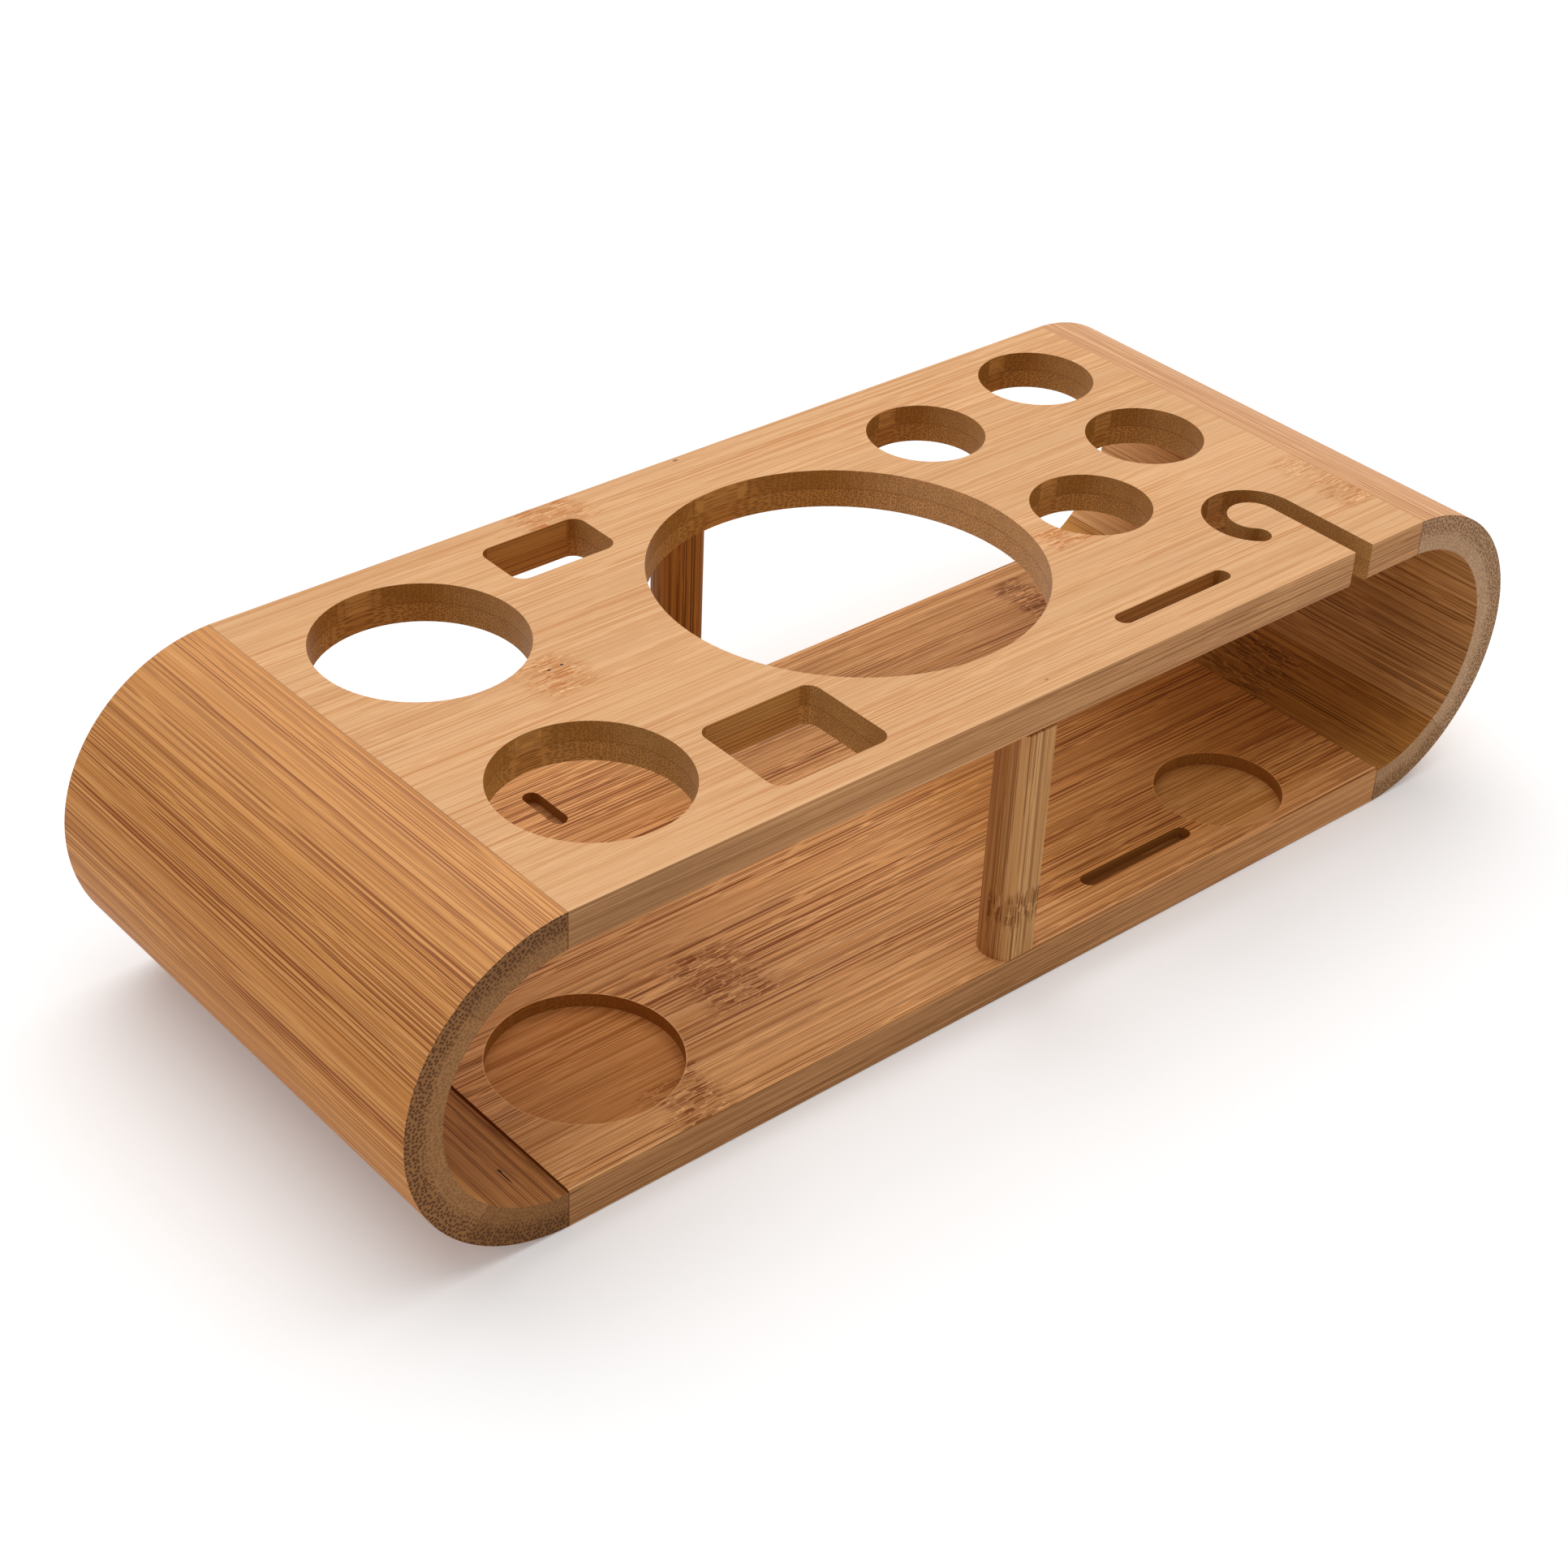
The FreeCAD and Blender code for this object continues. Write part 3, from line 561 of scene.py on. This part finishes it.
def stave_material(name, look):
    """Stave of a half-round end, with the grain along Y."""
    shader = new_material(name)
    seed = look["seed"]
    x, y, z = shader.place()
    _, face_y, _ = shader.facing()
    outward = shader.times(x, look["side"])
    out = shader.minus(outward, END_CENTRE)
    up = shader.minus(z, MID_HEIGHT)
    angle = shader.math("ARCTAN2", up, out)
    depth = shader.minus(END_RADIUS, shader.length(out, up))
    arc = shader.times(angle, END_RADIUS)

    along = shader.times(y, 1 / END_STRETCH)
    across = shader.times(arc, END_FINENESS)
    outer, fibre, marks = side_grain(shader, along, across, look["outer"], look["lines"], seed)
    # Painted light: the upper part of the outer face is mixed toward a paler tone
    outer = shader.mix(shader.times(shader.step(arc, *LIT_TOP_ARC), LIT_TOP_SHARE), outer, look["crown"])
    cover = knot_cover(shader, y, arc, look["knots"], seed + 40) if "knots" in look else None
    inner, _, _ = side_grain(shader, y, arc, look["inner"], look["inner_lines"], seed + 20, cover)
    inner = add_specks(shader, inner, y, arc, look.get("specks", ()))
    # Painted light: the inside is tinted paler toward the rear mouth, and a little toward the front mouth
    if "mouth_tint" in look:
        front = shader.times(shader.step(y, *FRONT_MOUTH_LIT), FRONT_MOUTH_LIGHT)
        lit_mouths = shader.larger(shader.step(y, *REAR_MOUTH_LIT), front)
        inner = shader.tinted(inner, lit_mouths, look["mouth_tint"])
    colour = shader.mix(shader.above(depth, END_WALL / 2), outer, inner)

    skin_sway = shader.swing(shader.noise(shader.times(arc, SKIN_RATE), 0.0, seed), SKIN_SWAY)
    dense = shader.step(shader.plus(depth, skin_sway), *DENSE_SKIN)
    ground = shader.mix(dense, *look["ends"])
    strength = shader.spread(dense, *END_DOT_STRENGTHS)
    cut, bundle = cut_ends(shader, arc, depth, ground, look["dots"], END_BUNDLE, strength, seed + 31)
    across_cut = shader.above(face_y, CUT_FROM)
    colour = shader.mix(across_cut, colour, cut)

    from_joint = shader.size_of(shader.minus(shader.size_of(angle), STAVE_JOINT))
    colour = glue_line(shader, colour, shader.times(from_joint, END_RADIUS), SEAM_WIDTH, STAVE_GLUE)
    seam = shader.minus(outward, HALF_LENGTH)
    seam_strength = shader.spread(across_cut, SEAM_ON_FLAT, SEAM_ON_EDGE)
    colour = glue_line(shader, colour, seam, SEAM_WIDTH, seam_strength)
    marks = shader.choose(across_cut, marks, bundle)
    return finish_wood(shader, colour, fibre, marks)


# Turn round a rod, in radians from +X, where its shaded left side begins and is full
LEFT_TURN = (2.2, 2.9)


def post_material(name, node, look):
    """Rod with the grain upright."""
    shader = new_material(name)
    low, high = (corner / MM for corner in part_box(node))
    x, y, z = shader.place()
    aside = shader.minus(x, (low.x + high.x) / 2)
    back = shader.minus(y, (low.y + high.y) / 2)
    turn = shader.math("ARCTAN2", back, aside)
    arc = shader.times(turn, (high.x - low.x) / 2)
    cover = knot_cover(shader, z, arc, look["knots"], look["seed"]) if look["knots"] else None
    colour, fibre, marks = side_grain(shader, z, arc, look["tones"], look["lines"], look["seed"], cover)
    left = shader.step(shader.size_of(turn), *LEFT_TURN)
    colour = shader.mix(shader.times(left, look["left_shade"]), colour, look["tones"][2])
    return finish_wood(shader, colour, fibre, marks)


def dress(node, material):
    slots = nodes[node].data.materials
    slots.clear()
    slots.append(material)


# Boards, with light, middle and dark tones, and places in millimetres along X and Y
TOP_LOOK = {
    "seed": 3.0,
    "tones": (srgb(231, 182, 133), srgb(219, 165, 115), srgb(186, 112, 50)),
    "lines": (0.46, 0.54, 0.52),
    "knots": [(-38, 60, 12, 6), (-79, 3.5, 10, 8), (124, -37, 8, 14), (53, -19, 9, 4.5)],
    "specks": [(1.9, 64.2, 0.9, 0.5, 0.6), (4.9, -61.4, 0.7, 0.35, 0.45),
               (-79.2, 6.0, 0.55, 0.4, 0.9), (-75.7, 6.2, 0.55, 0.4, 0.9)],
    "recess": srgb(220, 168, 112),
    "floors": [],
    "rims": [],
    "patches": [((84.0, 104.0), (-40.0, 0.0), srgb(229, 181, 135), 0.35),
                ((-70.0, -90.0), (-70.0, -48.0), srgb(227, 177, 128), 0.4)],
    "tints": [],
    "edge_tones": (srgb(214, 160, 108), srgb(181, 126, 77), srgb(120, 68, 26)),
    "edge_lines": (0.7, 0.7, 0.6),
    # Painted shade toward the left of the front and rear faces
    "edge_span": (-105.0, -50.0),
    "edge_fade": (0.86, 1.09),
    "wall_tones": (srgb(187, 128, 61), srgb(171, 113, 47)),
    "wall_sides": (srgb(190, 126, 58), srgb(205, 143, 72)),
    # Tones of the walls that face along X, far from and near the large hole's right wall; the second is
    # painted light
    "wall_ends": (srgb(198, 147, 86), srgb(225, 173, 116)),
    "wall_dots": srgb(122, 72, 26),
}
# Painted shade: a darkening tint on the groove floors
GROOVE_PAINTED_SHADE = (0.64, 0.65, 0.73, 1.0)
BASE_WALL = (srgb(168, 110, 48), srgb(168, 110, 48))
BASE_LOOK = {
    "seed": 11.0,
    "tones": (srgb(236, 179, 120), srgb(208, 145, 86), srgb(122, 58, 12)),
    "lines": (0.8, 0.9, 0.85),
    "knots": [(-58, -30, 13, 11), (-90, -57, 10, 10), (115, 49, 8, 10)],
    "specks": [],
    "recess": srgb(200, 132, 64),
    # Groove floors get painted shade; the recess floors get their own tints
    "floors": [(groove_area("blade_groove"), GROOVE_PAINTED_SHADE),
               (groove_area("cross_groove"), GROOVE_PAINTED_SHADE),
               (recess_area("foot_recess"), (1.16, 1.38, 1.70, 1.0)),
               (recess_area("cup_recess"), (0.95, 0.90, 0.84, 1.0))],
    "rims": [round_place("cup_recess"), round_place("foot_recess")],
    "patches": [],
    # Painted shade under the upper board toward the right, and painted light at the rear left
    "tints": [((68.0, 106.0), (-42.0, 4.0), (0.75, 0.67, 0.52, 1.0)),
              ((5.0, 40.0), (-60.0, 14.0), (0.89, 0.80, 0.60, 1.0)),
              ((-10.0, -30.0), (22.0, 70.0), (1.15, 1.11, 1.04, 1.0))],
    "edge_tones": (srgb(207, 153, 100), srgb(174, 119, 70), srgb(116, 66, 24)),
    "edge_lines": (0.7, 0.8, 0.7),
    # Painted light toward the right of the front and rear faces
    "edge_span": (-30.0, 110.0),
    "edge_fade": (0.97, 1.32),
    "wall_tones": BASE_WALL,
    "wall_sides": BASE_WALL,
    "wall_ends": BASE_WALL,
    "wall_dots": srgb(110, 64, 22),
}
dress("top_panel", board_material("upper_board_bamboo", TOP_LOOK, board_low, board_high))
dress("bottom_panel", board_material("lower_board_bamboo", BASE_LOOK, base_low, base_high))

# Ends, with places in millimetres along Y and round the arc
END_LINES = (1.0, 0.96, 0.78)
PALE_INNER = (srgb(214, 158, 96), srgb(192, 132, 72), srgb(136, 78, 28))
BROWN_INNER = (srgb(184, 125, 58), srgb(160, 103, 42), srgb(90, 46, 6))
LEFT_END = {
    "side": -1,
    "outer": (srgb(222, 158, 93), srgb(201, 131, 64), srgb(124, 50, 2)),
    "lines": END_LINES,
    # Paler tone of painted light on the top of the outer face
    "crown": srgb(236, 184, 134),
    "inner": (srgb(192, 133, 77), srgb(168, 110, 58), srgb(92, 45, 10)),
    "inner_lines": (0.65, 0.78, 0.55),
    "dots": srgb(76, 40, 14),
}
RIGHT_END = {
    "side": 1,
    "outer": (srgb(231, 180, 132), srgb(209, 150, 100), srgb(150, 82, 32)),
    "lines": END_LINES,
    # Paler tone of painted light on the top of the outer face
    "crown": srgb(228, 178, 136),
    "inner": (srgb(204, 150, 89), srgb(176, 120, 62), srgb(104, 56, 12)),
    "inner_lines": (0.75, 0.85, 0.65),
    "dots": srgb(116, 76, 42),
    # Tint of painted light inside the mouths
    "mouth_tint": (1.75, 2.0, 2.8, 1.0),
}
CRACK = [(-52.6, -51.6, 0.8, 0.65, 1.0), (-54.8, -51.45, 2.7, 0.36, 1.0)]
STAVES = {
    "left_end_upper_stave": dict(
        LEFT_END, seed=21.0, ends=(srgb(157, 111, 68), srgb(139, 95, 55))),
    "left_end_middle_stave": dict(
        LEFT_END, seed=22.0, ends=(srgb(167, 118, 72), srgb(151, 103, 60)), inner=PALE_INNER),
    "left_end_lower_stave": dict(
        LEFT_END, seed=23.0, ends=(srgb(152, 105, 60), srgb(136, 92, 50)), specks=CRACK),
    "right_end_upper_stave": dict(
        RIGHT_END, seed=24.0, ends=(srgb(192, 152, 114), srgb(180, 138, 100))),
    "right_end_middle_stave": dict(
        RIGHT_END, seed=25.0, ends=(srgb(197, 157, 119), srgb(181, 141, 102))),
    "right_end_lower_stave": dict(
        RIGHT_END, seed=26.0, ends=(srgb(187, 145, 104), srgb(168, 126, 84)), inner=BROWN_INNER,
        knots=[(-13.0, -50.0, 17.0, 12.0)]),
}
for node, look in STAVES.items():
    dress(node, stave_material(node + "_bamboo", look))

# Rods and dowels, with places in millimetres along Z and round the rod
POST_LOOK = {
    "seed": 31.0,
    "tones": (srgb(213, 160, 104), srgb(193, 136, 77), srgb(120, 64, 16)),
    "lines": (0.5, 0.8, 0.8),
    "knots": [(24, -8, 6, 14)],
    "left_shade": 0.25,
}
REAR_POST_TONES = (srgb(186, 126, 58), srgb(162, 104, 42), srgb(96, 48, 8))
REAR_POST_LOOK = dict(POST_LOOK, seed=33.0, tones=REAR_POST_TONES, knots=[])
DOWEL_LOOK = dict(POST_LOOK, seed=41.0, knots=[])
dress("front_post", post_material("front_post_bamboo", "front_post", POST_LOOK))
dress("rear_post", post_material("rear_post_bamboo", "rear_post", REAR_POST_LOOK))
dowel_bamboo = post_material("dowel_bamboo", "front_post", DOWEL_LOOK)
for node in nodes:
    if node.endswith("dowels"):
        dress(node, dowel_bamboo)

# Floor
FLOOR_HALF = 4.0
FLOOR_DROP = 0.2 * MM
FLOOR_COLOUR = (0.92, 0.92, 0.92, 1.0)
FLOOR_ROUGHNESS = 0.9
FLOOR_GLOW = 0.18
floor_mesh = bpy.data.meshes.new("floor")
turns = ((-1, -1), (1, -1), (1, 1), (-1, 1))
corners = [(across * FLOOR_HALF, back * FLOOR_HALF, 0) for across, back in turns]
floor_mesh.from_pydata(corners, [], [(0, 1, 2, 3)])
floor = bpy.data.objects.new("floor", floor_mesh)
floor.location.z = -FLOOR_DROP
bpy.context.scene.collection.objects.link(floor)

floor_shader = new_material("floor_white")
floor_sockets = floor_shader.surface.inputs
floor_sockets["Base Color"].default_value = FLOOR_COLOUR
floor_sockets["Roughness"].default_value = FLOOR_ROUGHNESS
floor_sockets["Specular IOR Level"].default_value = 0.0
floor_sockets["Emission Color"].default_value = WHITE
floor_shader.feed(floor_sockets["Emission Strength"], floor_shader.times(floor_shader.seen(), FLOOR_GLOW))
floor_mesh.materials.append(floor_shader.owner)

# Light: an even white surround and one wide soft lamp from above
WORLD_LIGHT = 0.42
LAMP_POWER = 1.9
LAMP_WIDTH = math.radians(75)
LAMP_TILT = (math.radians(-14), math.radians(9), 0)
world = bpy.data.worlds.new("studio")
bpy.context.scene.world = world
surround = Shader(world, "Background")
surround.surface.inputs["Color"].default_value = WHITE
surround.feed(surround.surface.inputs["Strength"], surround.spread(surround.seen(), WORLD_LIGHT, 1.0))

lamp = bpy.data.lights.new("overhead", "SUN")
lamp.energy = LAMP_POWER
lamp.angle = LAMP_WIDTH
overhead = bpy.data.objects.new("overhead", lamp)
overhead.rotation_euler = LAMP_TILT
bpy.context.scene.collection.objects.link(overhead)

# Camera, from the fit to the photograph: pixels, millimetres and degrees
IMAGE_SIZE = 1932
FOCAL_PIXELS = 3591.085
SENSOR_WIDTH = 36.0
CAMERA_X = -394.522
CAMERA_FROM_FRONT = 357.774
CAMERA_HEIGHT = 419.306
CAMERA_TURN = (55.4582, -2.2585, -40.3189)
camera_data = bpy.data.cameras.new("camera")
camera_data.sensor_width = SENSOR_WIDTH
camera_data.lens = FOCAL_PIXELS / IMAGE_SIZE * SENSOR_WIDTH
camera = bpy.data.objects.new("camera", camera_data)
camera.location = (CAMERA_X * MM, -(HALF_WIDTH + CAMERA_FROM_FRONT) * MM, CAMERA_HEIGHT * MM)
camera.rotation_euler = tuple(math.radians(turn) for turn in CAMERA_TURN)
bpy.context.scene.collection.objects.link(camera)
bpy.context.scene.camera = camera

bpy.context.scene.view_settings.view_transform = "Standard"
